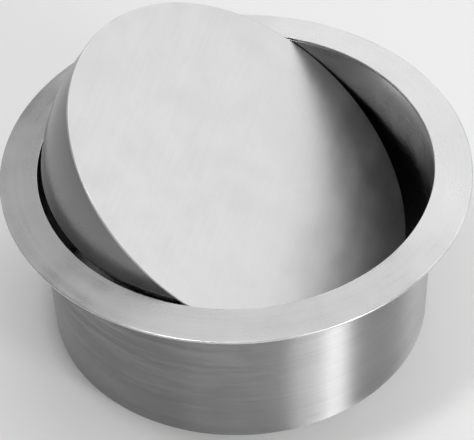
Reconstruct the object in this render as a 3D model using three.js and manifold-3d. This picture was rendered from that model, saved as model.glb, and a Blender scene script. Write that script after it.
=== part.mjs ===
// Round stainless desk grommet with a swinging lid: a shallow conical flange on a tapered sleeve, and a
// flat lid disc with two curved skirts that turns on two short pins hidden under the flange.
// Millimetres, +Z up, origin at the centre of the sleeve's lower edge. The pins lie along Y.
import * as THREE from "three";
import { mergeVertices } from "three/addons/utils/BufferGeometryUtils.js";
import Module from "manifold-3d";

const wasm = await Module();
wasm.setup();

// ---- driving dimensions ----
const FLANGE_RADIUS = 95.25;
const OPENING_RADIUS = 79.8;
const TOTAL_HEIGHT = 76.2; // lower edge of the sleeve to the edge of the opening
const FLANGE_RISE = 3.05; // the opening's edge stands this far above the flange's outer edge
const SHEET = 1.0;
const SLEEVE_WALL = 1.2;
const SLEEVE_TOP_RADIUS = 81.0; // outside
const SLEEVE_FOOT_RADIUS = 76.7; // outside
const LID_RADIUS = 79.0;
const LID_TILT = THREE.MathUtils.degToRad(33.4); // how far the lid stands open at rest
const PIVOT_DEPTH = 3.2; // pin axis below the lid's top face
const SKIRT_RADIUS = 78.5; // outside, about the pins' common centre
const SKIRT_ANGLE = THREE.MathUtils.degToRad(27.3); // how far each skirt reaches round below the lid
const PIN_RADIUS = 1.25;
const STOP_DEPTH = 40; // stop stud axis below the pin axis
const BUMPER_RADIUS = 4;
const GAP = 0.3; // between pieces that touch
const RUNNING_FIT = 0.12; // between the pin and what turns or clips on it
const ROUND = 80; // segments of the large rings
const FINE = 24; // segments of the small turned pieces

// ---- worked out ----
const CONE_SLOPE = FLANGE_RISE / (FLANGE_RADIUS - OPENING_RADIUS);
const RIM_TOP = TOTAL_HEIGHT - FLANGE_RISE;
const RIM_BOTTOM = RIM_TOP - SHEET;
const AXIS_HEIGHT = TOTAL_HEIGHT - PIVOT_DEPTH;
const SLEEVE_TAPER = (SLEEVE_TOP_RADIUS - SLEEVE_FOOT_RADIUS) / TOTAL_HEIGHT;
const LID_UNDERSIDE = PIVOT_DEPTH - SHEET; // above the pin axis, with the lid level

// Height of the flange's conical underside at a radius.
const flangeUnderside = (radius) => TOTAL_HEIGHT - SHEET - CONE_SLOPE * (radius - OPENING_RADIUS);

// Inside radius of the sleeve at a height.
const sleeveInside = (height) => SLEEVE_FOOT_RADIUS - SLEEVE_WALL + SLEEVE_TAPER * height;

// ---- finishes ----
const steel = (color, roughness) => new THREE.MeshStandardMaterial({ color, roughness, metalness: 1 });
const brushedSteel = steel(0xc9cacb, 0.32);
const turnedSteel = steel(0xb9bbbd, 0.22);
const springSteel = steel(0x8d8f92, 0.35);
const nylon = new THREE.MeshStandardMaterial({ color: 0xe8e6df, roughness: 0.5 });
const rubber = new THREE.MeshStandardMaterial({ color: 0x1c1c1d, roughness: 0.85 });

// ---- shape helpers ----
// A closed geometry as a manifold solid.
function toSolid(geometry) {
  const bare = geometry.clone();
  bare.deleteAttribute("normal");
  bare.deleteAttribute("uv");
  const merged = mergeVertices(bare, 1e-4);
  return new wasm.Manifold(
    new wasm.Mesh({
      numProp: 3,
      vertProperties: new Float32Array(merged.attributes.position.array),
      triVerts: new Uint32Array(merged.index.array),
    }),
  );
}

function toGeometry(solid) {
  const mesh = solid.getMesh();
  const geometry = new THREE.BufferGeometry();
  geometry.setAttribute("position", new THREE.BufferAttribute(new Float32Array(mesh.vertProperties), 3));
  geometry.setIndex(new THREE.BufferAttribute(new Uint32Array(mesh.triVerts), 1));
  geometry.computeVertexNormals();
  return geometry;
}

// A ring about Z from a closed section of [radius, height] corners, listed with the section on the left.
function ring(section, segments = ROUND) {
  const corners = [...section, section[0]].map(([radius, height]) => new THREE.Vector2(radius, height));
  return new THREE.LatheGeometry(corners, segments).rotateX(Math.PI / 2);
}

// A ring about Y, its section's heights measured along Y.
function ringAlongY(section, segments = FINE) {
  const corners = [...section, section[0]].map(([radius, along]) => new THREE.Vector2(radius, along));
  return new THREE.LatheGeometry(corners, segments);
}

// An outline in X and Z, given thickness along Y.
function plateAcrossY(shape, from, to) {
  const plate = new THREE.ExtrudeGeometry(shape, { depth: to - from, bevelEnabled: false, curveSegments: 12 });
  return plate.rotateX(Math.PI / 2).translate(0, to, 0);
}

function outline(corners) {
  return new THREE.Shape(corners.map(([x, z]) => new THREE.Vector2(x, z)));
}

function piece(name, geometry, material) {
  const mesh = new THREE.Mesh(geometry, material);
  mesh.name = name;
  return mesh;
}

// ---- fixed pieces ----
function makeFlange() {
  const land = 2.6; // width of the flat that sits on the desktop
  const edge = 0.35; // eased outer edge
  return ring([
    [OPENING_RADIUS, TOTAL_HEIGHT - SHEET],
    [FLANGE_RADIUS - land, flangeUnderside(FLANGE_RADIUS - land)],
    [FLANGE_RADIUS - land, RIM_BOTTOM],
    [FLANGE_RADIUS - edge, RIM_BOTTOM],
    [FLANGE_RADIUS, RIM_BOTTOM + edge],
    [FLANGE_RADIUS, RIM_TOP - edge],
    [FLANGE_RADIUS - edge, RIM_TOP + CONE_SLOPE * edge],
    [OPENING_RADIUS + edge, TOTAL_HEIGHT - CONE_SLOPE * edge],
    [OPENING_RADIUS, TOTAL_HEIGHT - edge],
  ]);
}

function makeSleeve() {
  const topInside = OPENING_RADIUS;
  const shell = toSolid(
    ring([
      [SLEEVE_FOOT_RADIUS - SLEEVE_WALL, 0],
      [SLEEVE_FOOT_RADIUS, 0],
      [SLEEVE_TOP_RADIUS, flangeUnderside(SLEEVE_TOP_RADIUS) - GAP],
      [topInside, flangeUnderside(topInside) - GAP],
    ]),
  );
  // An open notch in the top edge on each side, where a pin drops in before the flange goes on.
  const slot = PIN_RADIUS + GAP;
  const notch = new THREE.Shape();
  notch.moveTo(slot, 2 * PIVOT_DEPTH);
  notch.lineTo(-slot, 2 * PIVOT_DEPTH);
  notch.lineTo(-slot, 0);
  notch.absarc(0, 0, slot, Math.PI, 2 * Math.PI, false);
  const through = plateAcrossY(notch, -FLANGE_RADIUS, FLANGE_RADIUS).translate(0, 0, AXIS_HEIGHT);
  return toGeometry(shell.subtract(toSolid(through)));
}

const GASKET_INNER = 83.5;
const GASKET_OUTER = 91.5;

function makeGasket() {
  return ring([
    [GASKET_INNER, RIM_BOTTOM],
    [GASKET_OUTER, RIM_BOTTOM],
    [GASKET_OUTER, flangeUnderside(GASKET_OUTER) - GAP],
    [GASKET_INNER, flangeUnderside(GASKET_INNER) - GAP],
  ]);
}

// The pieces below are made for the rear, on +Y, and turned half round for the front.
// Along the pin from its inner end: clip, bush in its lug, spring washer, sleeve wall.
const PIN_TIP = 70.2;
const CLIP_FROM = 71.3;
const CLIP_TO = 71.9;
const BUSH_FROM = 72.2;
const LUG_FROM = 73.5;
const LUG_TO = 76.0;
const BUSH_TO = 76.6;
const WASHER_FROM = 76.9;
const WASHER_TO = 79.3;
const BUSH_RADIUS = 1.9; // the clip and the washer are as large
const LUG_HALF_WIDTH = 6;
const LUG_FOOT = 5.5; // radius of the lug's lower end
const LUG_SLOT = BUSH_RADIUS + 0.15; // half the width of the slot that the bush presses into

function makePin() {
  const chamfer = 0.3;
  return ringAlongY([
    [0, PIN_TIP],
    [PIN_RADIUS - chamfer, PIN_TIP],
    [PIN_RADIUS, PIN_TIP + chamfer],
    [PIN_RADIUS, SLEEVE_TOP_RADIUS - SLEEVE_WALL / 4],
    [0, SLEEVE_TOP_RADIUS - SLEEVE_WALL / 4],
  ]).translate(0, 0, AXIS_HEIGHT);
}

// A wave spring washer: a square wire wound twice round the pin, its turns sprung apart.
const WASHER_WIRE = 0.34;
const WASHER_TURNS = 2;

function makeSpringWasher() {
  const half = WASHER_WIRE / 2;
  const middle = BUSH_RADIUS - half;
  const travel = WASHER_TO - WASHER_FROM - WASHER_WIRE;
  class Winding extends THREE.Curve {
    getPoint(share, target = new THREE.Vector3()) {
      const angle = share * WASHER_TURNS * 2 * Math.PI;
      const along = WASHER_FROM + half + travel * share;
      return target.set(middle * Math.cos(angle), along, middle * Math.sin(angle));
    }
  }
  const wire = outline([[-half, -half], [half, -half], [half, half], [-half, half]]);
  const wound = { steps: WASHER_TURNS * FINE, extrudePath: new Winding() };
  return new THREE.ExtrudeGeometry(wire, wound).translate(0, 0, AXIS_HEIGHT);
}

// An open retaining clip on the pin's inner end.
function makeClip() {
  const mouth = THREE.MathUtils.degToRad(35); // half the open angle
  const from = mouth - Math.PI / 2;
  const to = 1.5 * Math.PI - mouth;
  const shape = new THREE.Shape();
  shape.absarc(0, 0, BUSH_RADIUS, from, to, false);
  shape.absarc(0, 0, PIN_RADIUS + RUNNING_FIT, to, from, true);
  return plateAcrossY(shape, CLIP_FROM, CLIP_TO).translate(0, 0, AXIS_HEIGHT);
}

const STOP_HEIGHT = AXIS_HEIGHT - STOP_DEPTH;
const STUD_RADIUS = 2;
const STUD_TIP = 61.5;
const STUD_FOOT_RADIUS = 5;
const STUD_FOOT_THICKNESS = 1.5;
const BUMPER_FROM = 62.5;
const BUMPER_TO = 71.5;

function makeStopStud() {
  const wall = sleeveInside(STOP_HEIGHT - STUD_FOOT_RADIUS) - 2 * GAP;
  const foot = wall - STUD_FOOT_THICKNESS;
  return ringAlongY([
    [0, STUD_TIP],
    [STUD_RADIUS, STUD_TIP],
    [STUD_RADIUS, foot],
    [STUD_FOOT_RADIUS, foot],
    [STUD_FOOT_RADIUS, wall],
    [0, wall],
  ]).translate(0, 0, STOP_HEIGHT);
}

function makeBumper() {
  const ease = 0.8;
  return ringAlongY([
    [STUD_RADIUS + GAP, BUMPER_FROM],
    [BUMPER_RADIUS - ease, BUMPER_FROM],
    [BUMPER_RADIUS, BUMPER_FROM + ease],
    [BUMPER_RADIUS, BUMPER_TO - ease],
    [BUMPER_RADIUS - ease, BUMPER_TO],
    [STUD_RADIUS + GAP, BUMPER_TO],
  ]).translate(0, 0, STOP_HEIGHT);
}

// ---- lid pieces, made level with the pin axis through their own origin ----
function makeDisc() {
  const edge = 0.25;
  return ring([
    [0, LID_UNDERSIDE],
    [LID_RADIUS - edge, LID_UNDERSIDE],
    [LID_RADIUS, LID_UNDERSIDE + edge],
    [LID_RADIUS, PIVOT_DEPTH - edge],
    [LID_RADIUS - edge, PIVOT_DEPTH],
    [0, PIVOT_DEPTH],
  ]);
}

// A gore of a spherical shell between the disc and a plane through the pin axis; side is 1 for +X, -1 for -X.
function makeSkirt(side) {
  const nearest = 3.2; // clear of the pin
  const far = 2 * LID_RADIUS;
  const fall = Math.tan(SKIRT_ANGLE);
  const wedge = plateAcrossY(
    outline([
      [nearest, -fall * nearest],
      [far, -fall * far],
      [far, LID_UNDERSIDE - GAP],
      [nearest, LID_UNDERSIDE - GAP],
    ]),
    -LID_RADIUS,
    LID_RADIUS,
  );
  const ball = (radius) => toSolid(new THREE.SphereGeometry(radius, 1.5 * ROUND, ROUND / 2));
  const shell = ball(SKIRT_RADIUS).subtract(ball(SKIRT_RADIUS - SHEET)).intersect(toSolid(wedge));
  return toGeometry(shell).rotateZ(side > 0 ? 0 : Math.PI);
}

// A lug under the disc with an upright slot that holds the bush.
function makeLug() {
  const top = LID_UNDERSIDE - GAP;
  const shape = new THREE.Shape();
  shape.moveTo(LUG_HALF_WIDTH, top);
  shape.lineTo(LUG_SLOT, top);
  shape.lineTo(LUG_SLOT, 0);
  shape.absarc(0, 0, LUG_SLOT, 0, -Math.PI, true);
  shape.lineTo(-LUG_SLOT, top);
  shape.lineTo(-LUG_HALF_WIDTH, top);
  shape.lineTo(-LUG_HALF_WIDTH, 0);
  shape.absarc(0, 0, LUG_FOOT, Math.PI, 2 * Math.PI, false);
  shape.lineTo(LUG_HALF_WIDTH, 0);
  return plateAcrossY(shape, LUG_FROM, LUG_TO);
}

function makeBush() {
  const bore = PIN_RADIUS + RUNNING_FIT;
  return ringAlongY([
    [bore, BUSH_FROM],
    [BUSH_RADIUS, BUSH_FROM],
    [BUSH_RADIUS, BUSH_TO],
    [bore, BUSH_TO],
  ]);
}

// ---- assembly ----
const grommet = new THREE.Group();
grommet.add(
  piece("flange_ring", makeFlange(), brushedSteel),
  piece("sleeve", makeSleeve(), brushedSteel),
  piece("flange_gasket", makeGasket(), rubber),
);

const lid = new THREE.Group();
lid.position.z = AXIS_HEIGHT;
lid.rotation.y = LID_TILT;
lid.add(
  piece("lid_disc", makeDisc(), brushedSteel),
  piece("left_skirt", makeSkirt(-1), brushedSteel),
  piece("right_skirt", makeSkirt(1), brushedSteel),
);

for (const [end, turn] of [["rear", 0], ["front", Math.PI]]) {
  const fixed = new THREE.Group();
  fixed.rotation.z = turn;
  fixed.add(
    piece(`${end}_pivot_pin`, makePin(), turnedSteel),
    piece(`${end}_spring_washer`, makeSpringWasher(), springSteel),
    piece(`${end}_retaining_clip`, makeClip(), springSteel),
    piece(`${end}_stop_stud`, makeStopStud(), turnedSteel),
    piece(`${end}_stop_bumper`, makeBumper(), rubber),
  );
  grommet.add(fixed);
  const swinging = new THREE.Group();
  swinging.rotation.z = turn;
  swinging.add(
    piece(`${end}_hinge_lug`, makeLug(), brushedSteel),
    piece(`${end}_hinge_bush`, makeBush(), nylon),
  );
  lid.add(swinging);
}
grommet.add(lid);

export default grommet;
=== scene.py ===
import math

import bmesh
import bpy
from mathutils import Matrix, Quaternion, Vector


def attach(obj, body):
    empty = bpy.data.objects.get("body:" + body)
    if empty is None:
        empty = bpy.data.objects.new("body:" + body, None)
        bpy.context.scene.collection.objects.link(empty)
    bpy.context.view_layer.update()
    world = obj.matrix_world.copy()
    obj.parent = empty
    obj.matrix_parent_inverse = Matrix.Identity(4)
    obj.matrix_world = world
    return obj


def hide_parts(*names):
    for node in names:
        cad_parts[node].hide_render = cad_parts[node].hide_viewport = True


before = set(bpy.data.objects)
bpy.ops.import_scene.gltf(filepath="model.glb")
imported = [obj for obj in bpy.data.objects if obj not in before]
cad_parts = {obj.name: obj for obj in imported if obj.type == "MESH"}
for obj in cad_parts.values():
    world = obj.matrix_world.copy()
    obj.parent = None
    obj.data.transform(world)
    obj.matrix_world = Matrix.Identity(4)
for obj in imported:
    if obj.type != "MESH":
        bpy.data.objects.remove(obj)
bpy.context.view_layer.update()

mm = 0.001
roundSteps = 256
smallSteps = 64


# Shader building.
def plug(tree, socket, value):
    if isinstance(value, Signal):
        tree.links.new(value.socket, socket)
    else:
        socket.default_value = value


# A shader socket that can be used in sums like a number.
class Signal:
    def __init__(self, tree, socket):
        self.tree = tree
        self.socket = socket

    def math(self, operation, *values):
        node = self.tree.nodes.new("ShaderNodeMath")
        node.operation = operation
        for place, value in enumerate(values):
            plug(self.tree, node.inputs[place], value)
        return Signal(self.tree, node.outputs[0])

    def __add__(self, other):
        return self.math("ADD", self, other)

    def __radd__(self, other):
        return self.math("ADD", other, self)

    def __sub__(self, other):
        return self.math("SUBTRACT", self, other)

    def __rsub__(self, other):
        return self.math("SUBTRACT", other, self)

    def __mul__(self, other):
        return self.math("MULTIPLY", self, other)

    def __pow__(self, other):
        return self.math("POWER", self, other)

    # The same without its sign.
    def size(self):
        return self.math("ABSOLUTE", self)

    # 0 below low, 1 above high, smooth between.
    def ramp(self, low, high):
        node = self.tree.nodes.new("ShaderNodeMapRange")
        node.interpolation_type = "SMOOTHSTEP"
        plug(self.tree, node.inputs["Value"], self)
        plug(self.tree, node.inputs["From Min"], low)
        plug(self.tree, node.inputs["From Max"], high)
        return Signal(self.tree, node.outputs["Result"])


# A material with one Principled shader, built node by node.
class Surface:
    def __init__(self, name, **constants):
        self.material = bpy.data.materials.new(name)
        self.material.use_nodes = True
        self.tree = self.material.node_tree
        self.shader = self.tree.nodes["Principled BSDF"]
        for socket, value in constants.items():
            self.shader.inputs[socket.replace("_", " ")].default_value = value

    def add(self, kind, settings, values, output=0):
        node = self.tree.nodes.new(kind)
        for setting, value in settings.items():
            setattr(node, setting, value)
        for socket, value in values.items():
            plug(self.tree, node.inputs[socket], value)
        return Signal(self.tree, node.outputs[output])

    # Where the point is in the piece's own space, in millimetres.
    def place(self):
        point = self.add("ShaderNodeTexCoord", {}, {}, "Object")
        grown = self.add("ShaderNodeVectorMath", {"operation": "SCALE"}, {0: point, "Scale": 1000.0})
        parts = self.tree.nodes.new("ShaderNodeSeparateXYZ")
        self.tree.links.new(grown.socket, parts.inputs[0])
        return [Signal(self.tree, parts.outputs[axis]) for axis in range(3)]

    def vector(self, x, y, z):
        return self.add("ShaderNodeCombineXYZ", {}, {0: x, 1: y, 2: z})

    def noise(self, vector, scale, detail=3.0, rough=0.55):
        values = {"Vector": vector, "Scale": scale, "Detail": detail, "Roughness": rough}
        return self.add("ShaderNodeTexNoise", {}, values, "Fac")

    def mix(self, share, first, second):
        node = self.tree.nodes.new("ShaderNodeMix")
        node.data_type = "RGBA"
        plug(self.tree, node.inputs[0], share)
        for place, value in ((6, first), (7, second)):
            plug(self.tree, node.inputs[place], value)
        return Signal(self.tree, node.outputs[2])

    def bump(self, height, distance):
        values = {"Height": height, "Distance": distance}
        return self.add("ShaderNodeBump", {}, values, "Normal")

    def wear(self, **signals):
        for socket, value in signals.items():
            plug(self.tree, self.shader.inputs[socket.replace("_", " ")], value)
        return self.material


def grey(level, warm=0.0):
    return (level + warm, level, level - warm, 1.0)


# Brushed stainless.
steelLook = {
    "light": 0.65,  # palest metal
    "dark": 0.53,  # darkest metal
    "grainDepth": 0.012,  # mm
    "wave": 0.05,  # mm, the slow unevenness of rolled sheet
    "rim": 0.71,  # rubbed edges
    "boreShade": 0.85,  # how strongly the painted shade deep in the bore darkens the metal
}


# grain: "level" runs round an upright wall, "round" follows circles, "straight" runs along the pins.
# rims: radii, or heights on a level grain, where an edge is rubbed.
# shade fade: the two heights between which the painted shade deep in the bore thins out, darkest at the
# bottom.
# depth: below 1 gives a darker copy of the same steel, painted shade for the wall, the bore, the skirts and
# lugs.
def brushedSteel(name, grain, roughness, depth=1.0, contrast=1.0, anisotropy=0.0, rims=(), shadeFade=None):
    surface = Surface(name, Metallic=1.0, Anisotropic=anisotropy, Anisotropic_Rotation=0.25)
    x, y, z = surface.place()
    radius = (x * x + y * y) ** 0.5
    if grain == "level":
        fine = surface.vector(x * 0.025, y * 0.025, z * 1.1)
        broad = surface.vector(x * 0.022, y * 0.022, z * 0.34)
    elif grain == "round":
        fine = surface.vector(x * 0.012, y * 0.012, radius * 0.7)
        broad = surface.vector(x * 0.02, y * 0.02, radius * 0.2)
    else:
        fine = surface.vector(x * 1.0, y * 0.03, z * 1.0)
        broad = surface.vector(x * 0.2, y * 0.03, z * 0.2)
    here = surface.vector(x, y, z)
    lines = surface.noise(fine, 1.0, 1.5, 0.5) - 0.5
    bands = surface.noise(broad, 1.0, 2.0) - 0.5
    mottle = surface.noise(here, 0.07, 3.0, 0.5) - 0.5
    slow = surface.noise(here, 0.018, 2.0)
    smudge = surface.noise(here, 0.035, 3.0).ramp(0.52, 0.72)
    share = 0.5 + (lines * 1.5 + bands * 1.3) * contrast + mottle * 1.1 - smudge * 0.15
    tone = surface.mix(share, grey(steelLook["dark"] * depth), grey(steelLook["light"] * depth, 0.001))
    rough = roughness + (lines * 0.22 + bands * 0.34) * contrast + mottle * 0.14 + smudge * 0.04
    # Rims rubbed brighter and smoother in patches.
    for rim in rims:
        across = (radius - rim) if grain != "level" else (z - rim)
        rubbed = (1 - across.size().ramp(0.25, 1.1)) * mottle.ramp(-0.12, 0.14)
        tone = surface.mix(rubbed * 0.6, tone, grey(steelLook["rim"] * depth))
        rough = rough - rubbed * 0.03
    # Painted shade: the bore darkens towards the bottom, almost to black, standing in for the shade deep
    # inside it.
    if shadeFade:
        boreShade = 1 - (z + mottle * 24).ramp(*shadeFade)
        tone = surface.mix(boreShade * steelLook["boreShade"], tone, grey(0.05))
    height = lines * (steelLook["grainDepth"] * contrast) + slow * steelLook["wave"]
    return surface.wear(Base_Color=tone, Roughness=rough, Normal=surface.bump(height, mm))


def turnedSteel(name):
    surface = Surface(name, Metallic=1.0)
    x, y, z = surface.place()
    lines = surface.noise(surface.vector(x * 0.1, y * 5.0, z * 0.1), 1.0, 3.0, 0.6) - 0.5
    stain = surface.noise(surface.vector(x, y, z), 0.4, 4.0)
    tone = surface.mix(0.5 + lines * 0.8 - stain * 0.2, grey(0.42), grey(0.62))
    rough = 0.2 + lines * 0.12 + stain * 0.12
    return surface.wear(Base_Color=tone, Roughness=rough, Normal=surface.bump(lines, 0.02 * mm))


def springSteel(name):
    surface = Surface(name, Metallic=1.0)
    x, y, z = surface.place()
    tint = surface.noise(surface.vector(x, y, z), 0.7, 3.0)
    specks = surface.noise(surface.vector(x, y, z), 6.0, 4.0, 0.7) - 0.5
    straw = (0.40, 0.35, 0.27, 1.0)
    tone = surface.mix(tint.ramp(0.35, 0.7), grey(0.30), straw)
    rough = 0.3 + specks * 0.25
    return surface.wear(Base_Color=tone, Roughness=rough, Normal=surface.bump(specks, 0.01 * mm))


def nylon(name):
    surface = Surface(name, Subsurface_Weight=0.25, Subsurface_Radius=(0.001, 0.001, 0.0008), IOR=1.53)
    x, y, z = surface.place()
    flow = surface.noise(surface.vector(x * 0.5, y * 1.5, z * 0.5), 1.0, 4.0)
    dust = surface.noise(surface.vector(x, y, z), 3.0, 4.0, 0.7)
    tone = surface.mix(flow, (0.70, 0.68, 0.62, 1.0), (0.83, 0.82, 0.77, 1.0))
    tone = surface.mix(dust.ramp(0.6, 0.8) * 0.3, tone, (0.35, 0.33, 0.30, 1.0))
    rough = 0.42 + dust * 0.18
    return surface.wear(Base_Color=tone, Roughness=rough, Normal=surface.bump(flow, 0.03 * mm))


def blackRubber(name):
    surface = Surface(name)
    x, y, z = surface.place()
    pores = surface.noise(surface.vector(x, y, z), 3.5, 5.0, 0.7)
    bloom = surface.noise(surface.vector(x, y, z), 0.12, 4.0).ramp(0.45, 0.75)
    tone = surface.mix(bloom * 0.6 + pores * 0.2, (0.012, 0.012, 0.013, 1.0), (0.055, 0.054, 0.052, 1.0))
    rough = 0.62 + bloom * 0.2 + (pores - 0.5) * 0.2
    return surface.wear(Base_Color=tone, Roughness=rough, Normal=surface.bump(pores, 0.05 * mm))


def paleFloor(name):
    surface = Surface(name)
    x, y, z = surface.place()
    cloud = surface.noise(surface.vector(x, y, z), 0.004, 3.0)
    tone = surface.mix(cloud, (0.91, 0.91, 0.91, 1.0), (0.93, 0.93, 0.93, 1.0))
    return surface.wear(Base_Color=tone, Roughness=0.6 + cloud * 0.1)


materials = {
    # The wall, bore and skirt copies are darker than the flange and lid (depth below 1): painted shade.
    "sleeve": brushedSteel("brushed_stainless_wall_painted_shade", "level", 0.5, 0.75, 1.3, 1.0, [0.0]),
    "bore": brushedSteel("brushed_stainless_bore_painted_shade", "level", 0.30, 0.55, 0.5, shadeFade=(42.0, 72.0)),
    "flange": brushedSteel("brushed_stainless_flange", "round", 0.29, 1.0, 0.35, rims=[79.8, 95.25]),
    "lid": brushedSteel("brushed_stainless_lid", "straight", 0.36, 1.01, 0.25, rims=[79.0]),
    "skirt": brushedSteel("brushed_stainless_skirt_painted_shade", "straight", 0.25, 0.38, 0.2),
    "turned": turnedSteel("turned_steel"),
    "spring": springSteel("spring_steel"),
    "nylon": nylon("nylon"),
    "rubber": blackRubber("black_rubber"),
}
print("materials made:", len(materials))


# Mesh building.
mergeDistance = 1e-7  # metres
sharpAngle = 40  # degrees between faces, past which an edge stays crisp


# Replaces each sharp corner of a closed outline with a small curve, and keeps the flats flat beside it.
def eased(corners, cut, steps=4):
    result = []
    count = len(corners)
    for place in range(count):
        corner = Vector(corners[place])
        before = Vector(corners[place - 1]) - corner
        after = Vector(corners[(place + 1) % count]) - corner
        reach = min(cut, before.length * 0.4, after.length * 0.4)
        start = corner + before.normalized() * reach
        end = corner + after.normalized() * reach
        result.append(start + before.normalized() * reach * 0.25)
        for step in range(steps + 1):
            share = step / steps
            result.append(start * (1 - share) ** 2 + corner * 2 * share * (1 - share) + end * share**2)
        result.append(end + after.normalized() * reach * 0.25)
    return result


def finished(name, mesh, look, body, node, matrix=None):
    mesh.validate()
    mesh.shade_smooth()
    mesh.set_sharp_from_angle(angle=math.radians(sharpAngle))
    mesh.materials.append(materials[look])
    piece = bpy.data.objects.new(name, mesh)
    bpy.context.scene.collection.objects.link(piece)
    if matrix is not None:
        piece.matrix_world = matrix
    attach(piece, body)
    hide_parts(node)
    return piece


def meshOf(name, points, faces):
    mesh = bpy.data.meshes.new(name)
    mesh.from_pydata([tuple(Vector(p) * mm) for p in points], [], faces)
    tidy = bmesh.new()
    tidy.from_mesh(mesh)
    bmesh.ops.remove_doubles(tidy, verts=tidy.verts, dist=mergeDistance)
    bmesh.ops.recalc_face_normals(tidy, faces=tidy.faces)
    tidy.to_mesh(mesh)
    tidy.free()
    return mesh


# A closed section of (radius, height) spun round Z or Y.
def spun(name, section, steps=roundSteps, axis="Z"):
    points = []
    faces = []
    count = len(section)
    for step in range(steps):
        angle = math.tau * step / steps
        for radius, height in section:
            if axis == "Z":
                points.append((radius * math.cos(angle), radius * math.sin(angle), height))
            else:
                points.append((radius * math.cos(angle), height, radius * math.sin(angle)))
    for step in range(steps):
        here = step * count
        there = (step + 1) % steps * count
        for place in range(count):
            following = (place + 1) % count
            faces.append((here + place, there + place, there + following, here + following))
    return meshOf(name, points, faces)


# A section that reaches the axis: its first and last points lie on it.
def spunSolid(name, section, steps=smallSteps, axis="Y"):
    points = []
    faces = []
    inner = section[1:-1]
    count = len(inner)
    for step in range(steps):
        angle = math.tau * step / steps
        for radius, height in inner:
            across, up = radius * math.cos(angle), radius * math.sin(angle)
            points.append((across, up, height) if axis == "Z" else (across, height, up))
    for height in (section[0][1], section[-1][1]):
        points.append((0, 0, height) if axis == "Z" else (0, height, 0))
    first, last = len(points) - 2, len(points) - 1
    for step in range(steps):
        here = step * count
        there = (step + 1) % steps * count
        for place in range(count - 1):
            faces.append((here + place, there + place, there + place + 1, here + place + 1))
        faces.append((first, there, here))
        faces.append((last, here + count - 1, there + count - 1))
    return meshOf(name, points, faces)


# The grommet's main sizes, in millimetres.
grommet = {
    "flangeRadius": 95.25,
    "openingRadius": 79.8,
    "height": 76.2,
    "flangeRise": 3.05,
    "sheet": 1.0,
    "pivotDepth": 3.2,
    "pinRadius": 1.25,
    "lidTilt": 33.4,  # degrees open at rest
}
coneSlope = grommet["flangeRise"] / (grommet["flangeRadius"] - grommet["openingRadius"])
rimTop = grommet["height"] - grommet["flangeRise"]
axisHeight = grommet["height"] - grommet["pivotDepth"]
lidUnderside = grommet["pivotDepth"] - grommet["sheet"]
pinRadius = grommet["pinRadius"]


def flangeTop(radius):
    return grommet["height"] - coneSlope * (radius - grommet["openingRadius"])


# Flange.
flange = {"land": 2.6, "edgeEase": 0.38}


def makeFlange():
    outer, inner = grommet["flangeRadius"], grommet["openingRadius"]
    sheet = grommet["sheet"]
    land = outer - flange["land"]
    section = eased(
        [
            (inner, flangeTop(inner) - sheet),
            (inner, flangeTop(inner)),
            (outer, rimTop),
            (outer, rimTop - sheet),
            (land, rimTop - sheet),
            (land, flangeTop(land) - sheet),
        ],
        flange["edgeEase"],
    )
    mesh = spun("flangeRing", [tuple(p) for p in section])
    finished("flangeRing", mesh, "flange", "surround", "flange_ring")


makeFlange()

# Sleeve: a tapered wall with an open notch in its top edge for each pin.
sleeve = {
    "wall": 1.2,
    "topRadius": 81.0,
    "footRadius": 76.7,
    "slot": 1.55,  # half the notch's width
    "edgeEase": 0.3,
    "weldGap": 0.05,
    "notchSteps": 16,
    "levels": 12,
}


def makeSleeve():
    slot = sleeve["slot"]
    top = flangeTop(sleeve["topRadius"]) - grommet["sheet"] - sleeve["weldGap"]
    taper = (sleeve["topRadius"] - sleeve["footRadius"]) / grommet["height"]
    ease = sleeve["edgeEase"]
    half = math.asin(slot / (sleeve["topRadius"] - sleeve["wall"] / 2))
    cornerStep = 0.0006  # radians from the notch to the top edge beside it
    columns = []
    for step in range(roundSteps):
        angle = math.tau * step / roundSteps
        fromPin = abs(angle % math.pi - math.pi / 2)
        if fromPin > half * 1.3:
            columns.append((angle, top))
    for centre in (math.pi / 2, 1.5 * math.pi):
        for side in (-1, 1):
            columns.append((centre + side * (half + cornerStep), top))
        for step in range(sleeve["notchSteps"] + 1):
            across = math.cos(math.pi * step / sleeve["notchSteps"])
            columns.append((centre + half * across, axisHeight - slot * math.sqrt(1 - across * across)))
    columns.sort()
    points = []
    faces = []
    levels = sleeve["levels"]
    foot = sleeve["footRadius"]
    wall = sleeve["wall"]
    for angle, ceiling in columns:
        ring = []
        for level in range(levels + 1):
            share = level / levels
            height = ease + (ceiling - 2 * ease) * share
            ring.append((foot + taper * height, height))
        rim = foot + taper * ceiling
        ring.append((rim - ease * 0.3, ceiling - ease * 0.3))
        ring.append((rim - ease, ceiling))
        ring.append((rim - wall + ease, ceiling))
        ring.append((rim - wall + ease * 0.3, ceiling - ease * 0.3))
        for level in range(levels + 1):
            share = 1 - level / levels
            height = ease + (ceiling - 2 * ease) * share
            ring.append((foot - wall + taper * height, height))
        ring.append((foot - wall + ease * 0.3, ease * 0.3))
        ring.append((foot - wall + ease, 0))
        ring.append((foot - ease, 0))
        ring.append((foot - ease * 0.3, ease * 0.3))
        for radius, height in ring:
            points.append((radius * math.cos(angle), radius * math.sin(angle), height))
    count = len(ring)
    for step in range(len(columns)):
        here = step * count
        there = (step + 1) % len(columns) * count
        for place in range(count):
            following = (place + 1) % count
            faces.append((here + place, there + place, there + following, here + following))
    wallPiece = finished("sleeveWall", meshOf("sleeveWall", points, faces), "sleeve", "surround", "sleeve")
    wallPiece.data.materials.append(materials["bore"])
    # Faces that look inward take the bore's look, the darker copy of the steel with painted shade.
    for face in wallPiece.data.polygons:
        outward = Vector((face.center.x, face.center.y, 0)).normalized()
        if face.normal.dot(outward) < -0.3:
            face.material_index = 1


makeSleeve()

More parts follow.
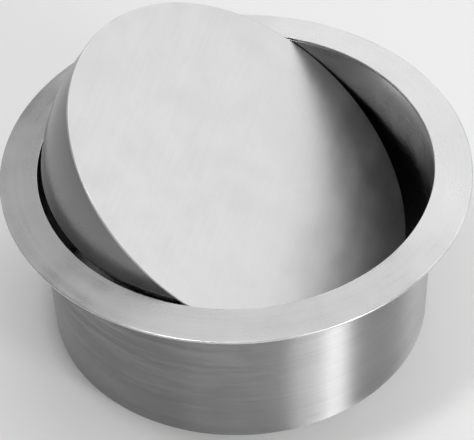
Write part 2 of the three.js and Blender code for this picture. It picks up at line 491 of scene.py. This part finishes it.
# Gasket between flange and desktop, with shallow grooves in its face.
gasket = {
    "inner": 83.5,
    "outer": 91.5,
    "grooves": 3,
    "grooveDepth": 0.35,
    "topGap": 0.1,
    "edgeEase": 0.15,
}


def makeGasket():
    inner, outer = gasket["inner"], gasket["outer"]
    bottom = rimTop - grommet["sheet"]
    gap = grommet["sheet"] + gasket["topGap"]
    corners = [(inner, flangeTop(inner) - gap), (outer, flangeTop(outer) - gap), (outer, bottom)]
    pitch = (outer - inner) / (2 * gasket["grooves"] + 1)
    for groove in range(gasket["grooves"]):
        start = outer - pitch * (2 * groove + 1)
        corners += [(start, bottom), (start - pitch * 0.3, bottom + gasket["grooveDepth"])]
        corners += [(start - pitch * 0.7, bottom + gasket["grooveDepth"]), (start - pitch, bottom)]
    corners.append((inner, bottom))
    section = [tuple(p) for p in eased(corners, gasket["edgeEase"], 3)]
    finished("flangeGasket", spun("flangeGasket", section), "rubber", "surround", "flange_gasket")


makeGasket()
print("flange, sleeve and gasket made")

# Lid.
tilt = Matrix.Rotation(math.radians(grommet["lidTilt"]), 4, "Y")
lidMatrix = Matrix.Translation((0, 0, axisHeight * mm)) @ tilt
lid = {"radius": 78.95, "edgeEase": 0.35}


def makeDisc():
    edge, top, under = lid["radius"], grommet["pivotDepth"], lidUnderside
    rounded = eased([(0.0, top), (edge, top), (edge, under), (0.0, under)], lid["edgeEase"])
    rim = [tuple(p) for p in rounded if p.x > edge / 2]
    rings = [(edge * share, top) for share in (0.25, 0.5, 0.75, 0.95)]
    below = [(edge * share, under) for share in (0.95, 0.5)]
    section = [(0.0, top), *rings, *rim, *below, (0.0, under)]
    mesh = spunSolid("lidDisc", section, roundSteps, "Z")
    finished("lidDisc", mesh, "lid", "lid", "lid_disc", lidMatrix)


makeDisc()

# Skirts: gores of a thin sphere between the disc and a plane through the pins.
skirt = {
    "radius": 78.5,
    "angle": 27.3,  # degrees below the pins' level to the lower edge
    "endGap": 3.7,  # from the pins' axis to where the skirt's ends are cut off
    "edgeEase": 0.25,
    "edgeShare": 0.012,  # part of the skirt's fall that each rounded edge takes
}


def makeSkirt(name, node, side):
    outer, sheet = skirt["radius"], grommet["sheet"]
    fall = math.radians(skirt["angle"])
    along = 160
    down = 32
    ease, edge = skirt["edgeEase"], skirt["edgeShare"]
    reach = math.acos(skirt["endGap"] / outer)
    shares = [0.0, edge / 3, edge] + [0.02 + 0.96 * n / down for n in range(down + 1)]
    shares += [1 - edge, 1 - edge / 3, 1.0]
    points = []
    faces = []
    for column in range(along + 1):
        lean = reach * math.sin(math.pi * (column / along - 0.5))
        ring = []
        for shell, order in ((outer, 1), (outer - sheet, -1)):
            y = shell * math.sin(lean)
            reachNow = shell * math.cos(lean)
            start = -math.asin(min(lidUnderside / reachNow, 0.9))
            strip = []
            for share in shares:
                angle = start + (fall - start) * share
                nearTop = max(0.0, 1 - share / edge)
                nearFoot = max(0.0, 1 - (1 - share) / edge)
                pull = ease * (0.4 * nearTop + 0.45 * nearFoot**2)
                size = reachNow - pull * order
                strip.append((side * size * math.cos(angle), side * y, -size * math.sin(angle)))
            ring += strip[::order]
        points += ring
    count = len(ring)
    for column in range(along):
        here = column * count
        there = here + count
        for place in range(count):
            following = (place + 1) % count
            faces.append((here + place, there + place, there + following, here + following))
    faces.append(tuple(range(count)))
    faces.append(tuple(range(along * count, (along + 1) * count))[::-1])
    finished(name, meshOf(name, points, faces), "skirt", "lid", node, lidMatrix)


makeSkirt("leftSkirt", "left_skirt", -1)
makeSkirt("rightSkirt", "right_skirt", 1)
print("lid and skirts made")

# The pivots and stops, the same at the rear and the front.
pin = {"tip": 70.2, "end": 80.7, "chamfer": 0.3, "groove": 0.18}
springCoil = {"start": 76.9, "end": 79.3, "middle": 1.73, "wire": 0.17, "turns": 2.5, "closed": 0.12}
clip = {"from": 71.4, "to": 72.0, "outer": 1.9, "mouth": 70}  # the mouth in degrees
bush = {"body": 1.9, "from": 72.3, "to": 76.6, "clearance": 0.12}
lug = {"from": 73.5, "to": 76.0, "half": 6.0, "foot": 5.5, "slot": 2.05, "bevel": 0.25}
stop = {"depth": 40.0, "tip": 61.5, "radius": 2.0, "footRadius": 5.0, "wall": 76.4}
bumper = {"from": 62.5, "to": 71.5, "radius": 4.0, "ribs": 4, "ribDepth": 0.22}


def pinMesh(name):
    tip, end, chamfer = pin["tip"], pin["end"], pin["chamfer"]
    grooveFrom, grooveTo = clip["from"] - 0.1, clip["to"] + 0.1
    low = pinRadius - pin["groove"]
    section = [(0, tip), (pinRadius - chamfer * 1.4, tip), (pinRadius - chamfer * 0.4, tip + chamfer * 0.4)]
    section += [(pinRadius, tip + chamfer * 1.4), (pinRadius, grooveFrom)]
    section += [(low, grooveFrom), (low, grooveTo)]
    section += [(pinRadius, grooveTo), (pinRadius, end - 0.25), (pinRadius - 0.25, end), (0, end)]
    return spunSolid(name, section)


# A round wire wound about the pin, with its end coils closed.
def coilMesh(name):
    points = []
    faces = []
    steps = int(springCoil["turns"] * (72))
    sides = 12
    wire, middle = springCoil["wire"], springCoil["middle"]
    start, end = springCoil["start"] + wire, springCoil["end"] - wire
    coilEnd = springCoil["closed"]
    for step in range(steps + 1):
        share = step / steps
        angle = math.tau * springCoil["turns"] * share
        climbed = min(max((share - coilEnd) / (1 - 2 * coilEnd), 0), 1)
        along = start + (end - start) * climbed
        for side in range(sides):
            around = math.tau * side / sides
            size = middle + wire * math.cos(around)
            points.append((size * math.cos(angle), along + wire * math.sin(around), size * math.sin(angle)))
    for step in range(steps):
        for side in range(sides):
            following = (side + 1) % sides
            here, there = step * sides, (step + 1) * sides
            faces.append((here + side, there + side, there + following, here + following))
    faces.append(tuple(range(sides)))
    faces.append(tuple(range(steps * sides, (steps + 1) * sides))[::-1])
    return meshOf(name, points, faces)


# An outline in X and Z, given thickness along Y with its edges rounded.
def plateMesh(name, outline, start, end, bevel):
    shape = bmesh.new()
    corners = [shape.verts.new((x * mm, start * mm, z * mm)) for x, z in outline]
    face = shape.faces.new(corners)
    grown = bmesh.ops.extrude_face_region(shape, geom=[face])
    moved = [item for item in grown["geom"] if isinstance(item, bmesh.types.BMVert)]
    bmesh.ops.translate(shape, verts=moved, vec=(0, (end - start) * mm, 0))
    bmesh.ops.recalc_face_normals(shape, faces=shape.faces)
    rim = [e for e in shape.edges if len(e.link_faces) == 2 and e.calc_face_angle(0) > math.radians(50)]
    bmesh.ops.bevel(shape, geom=rim, offset=bevel * mm, segments=3, affect="EDGES", clamp_overlap=True)
    mesh = bpy.data.meshes.new(name)
    shape.to_mesh(mesh)
    shape.free()
    return mesh


def arc(centreX, centreZ, radius, start, end, steps=24):
    turns = [math.radians(start + (end - start) * n / steps) for n in range(steps + 1)]
    return [(centreX + radius * math.cos(a), centreZ + radius * math.sin(a)) for a in turns]


def clipMesh(name):
    mouth = clip["mouth"] / 2
    inner = pinRadius + 0.02
    outline = arc(0, 0, clip["outer"], mouth - 90, 270 - mouth, 40)
    outline += arc(0, 0, inner, 270 - mouth, mouth - 90, 40)
    return plateMesh(name, outline, clip["from"], clip["to"], 0.06)


def lugMesh(name):
    half, foot, slot = lug["half"], lug["foot"], lug["slot"]
    top = lidUnderside - 0.02
    outline = [(half, top), (slot, top)]
    outline += arc(0, 0, slot, 0, -180)
    outline += [(-slot, top), (-half, top)]
    outline += [(-half, -0.2)] + arc(0, -0.2, foot, 180, 360, 32)[1:-1] + [(half, -0.2)]
    return plateMesh(name, outline, lug["from"], lug["to"], lug["bevel"])


def bushMesh(name):
    bore = pinRadius + bush["clearance"]
    body, start, end = bush["body"], bush["from"], bush["to"]
    corners = [(bore, start), (body, start), (body, end), (bore, end)]
    return spun(name, [tuple(p) for p in eased(corners, 0.12)], smallSteps, "Y")


def studMesh(name):
    radius, foot = stop["radius"], stop["footRadius"]
    tip, wall = stop["tip"], stop["wall"]
    section = [(0, tip), (radius - 0.4, tip), (radius - 0.1, tip + 0.1), (radius, tip + 0.4)]
    section += [(radius, wall - 2.1), (radius + 0.2, wall - 1.7), (radius + 0.6, wall - 1.5)]
    section += [(foot - 0.3, wall - 1.5), (foot, wall - 1.2), (foot, wall - 0.1)]
    section += [(foot - 0.1, wall), (0, wall)]
    return spunSolid(name, section)


def bumperMesh(name):
    inner, outer = stop["radius"] + 0.05, bumper["radius"]
    start, end = bumper["from"], bumper["to"]
    corners = [(inner, start), (outer - 0.6, start), (outer, start + 0.6)]
    pitch = (end - start - 2.4) / bumper["ribs"]
    for rib in range(bumper["ribs"]):
        here = start + 1.2 + pitch * rib
        corners += [(outer, here), (outer - bumper["ribDepth"], here + pitch * 0.3)]
        corners += [(outer - bumper["ribDepth"], here + pitch * 0.5), (outer, here + pitch * 0.8)]
    corners += [(outer, end - 0.6), (outer - 0.6, end), (inner, end)]
    return spun(name, [tuple(p) for p in eased(corners, 0.12, 3)], smallSteps, "Y")


def makePivot(end, turn):
    facing = Matrix.Rotation(turn, 4, "Z")
    atAxis = Matrix.Translation((0, 0, axisHeight * mm)) @ facing
    atStop = Matrix.Translation((0, 0, (axisHeight - stop["depth"]) * mm)) @ facing
    fixed = [
        ("PivotPin", pinMesh, "turned", "pivot_pin", atAxis),
        ("SpringWasher", coilMesh, "spring", "spring_washer", atAxis),
        ("RetainingClip", clipMesh, "spring", "retaining_clip", atAxis),
        ("StopStud", studMesh, "turned", "stop_stud", atStop),
        ("StopBumper", bumperMesh, "rubber", "stop_bumper", atStop),
    ]
    for suffix, maker, look, node, matrix in fixed:
        name = end + suffix
        finished(name, maker(name), look, "surround", f"{end}_{node}", matrix)
    swinging = [("HingeLug", lugMesh, "skirt", "hinge_lug"), ("HingeBush", bushMesh, "nylon", "hinge_bush")]
    for suffix, maker, look, node in swinging:
        name = end + suffix
        finished(name, maker(name), look, "lid", f"{end}_{node}", lidMatrix @ facing)


makePivot("rear", 0.0)
makePivot("front", math.pi)
print("pivots and stops made")

# Studio.
studio = {
    "floorSize": 8.0,  # metres
    "world": 0.25,
    "viewAzimuth": 16.7,  # degrees the camera stands round from the front, towards +X
    "viewElevation": 44.5,
    "viewRoll": -2.11,
    "lens": 297.8,
    "cameraPlace": (0.3269, -1.0907, 1.1648),  # metres
}
bpy.context.scene.view_settings.view_transform = "Standard"
bpy.context.scene.view_settings.look = "None"


def makeFloor():
    half = studio["floorSize"] / 2
    shape = bmesh.new()
    bmesh.ops.create_grid(shape, x_segments=16, y_segments=16, size=half)
    mesh = bpy.data.meshes.new("floor")
    shape.to_mesh(mesh)
    shape.free()
    mesh.materials.append(paleFloor("pale_floor"))
    floor = bpy.data.objects.new("floor", mesh)
    bpy.context.scene.collection.objects.link(floor)


makeFloor()


# around: degrees from the camera's side, positive to the right; up: degrees above the floor.
def softbox(name, around, up, distance, width, height, brightness):
    data = bpy.data.lights.new(name, "AREA")
    data.shape = "RECTANGLE"
    data.size, data.size_y = width, height
    data.energy = brightness * math.pi * width * height
    light = bpy.data.objects.new(name, data)
    bpy.context.scene.collection.objects.link(light)
    turn = math.radians(studio["viewAzimuth"] + around)
    rise = math.radians(up)
    out = Vector((math.sin(turn) * math.cos(rise), -math.cos(turn) * math.cos(rise), math.sin(rise)))
    light.location = out * distance + Vector((0, 0, 0.05))
    light.rotation_mode = "QUATERNION"
    light.rotation_quaternion = out.to_track_quat("Z", "Y")


softbox("backPanel", 172, 28, 2.4, 1.5, 1.7, 1.1)
softbox("rightPanel", 120, 30, 2.4, 1.9, 1.9, 1.0)
softbox("leftPanel", 222, 38, 2.4, 1.6, 1.4, 0.35)
softbox("ceiling", 120, 76, 2.6, 2.8, 3.0, 0.74)
softbox("frontFill", -5, 8, 2.4, 2.0, 1.0, 0.75)
softbox("keyFromAbove", -62, 74, 2.3, 0.35, 0.35, 24.0)
softbox("rightStrip", 48, 10, 2.0, 0.40, 1.0, 13.0)
softbox("rightStripSide", 33, 10, 2.0, 0.63, 1.0, 4.5)
softbox("farRightPanel", 104, 12, 2.2, 0.9, 0.9, 1.0)

world = bpy.data.worlds.new("studio")
bpy.context.scene.world = world
world.use_nodes = True
background = world.node_tree.nodes["Background"]
background.inputs["Color"].default_value = grey(1)
background.inputs["Strength"].default_value = studio["world"]


def makeCamera():
    data = bpy.data.cameras.new("camera")
    data.lens = studio["lens"]
    data.sensor_width = 36
    data.clip_start, data.clip_end = 0.05, 60
    camera = bpy.data.objects.new("camera", data)
    bpy.context.scene.collection.objects.link(camera)
    turn, rise = math.radians(studio["viewAzimuth"]), math.radians(studio["viewElevation"])
    back = Vector((math.sin(turn) * math.cos(rise), -math.cos(turn) * math.cos(rise), math.sin(rise)))
    camera.location = studio["cameraPlace"]
    camera.rotation_mode = "QUATERNION"
    roll = Quaternion((0, 0, 1), math.radians(studio["viewRoll"]))
    camera.rotation_quaternion = (-back).to_track_quat("-Z", "Y") @ roll
    bpy.context.scene.camera = camera


makeCamera()
print("studio made")
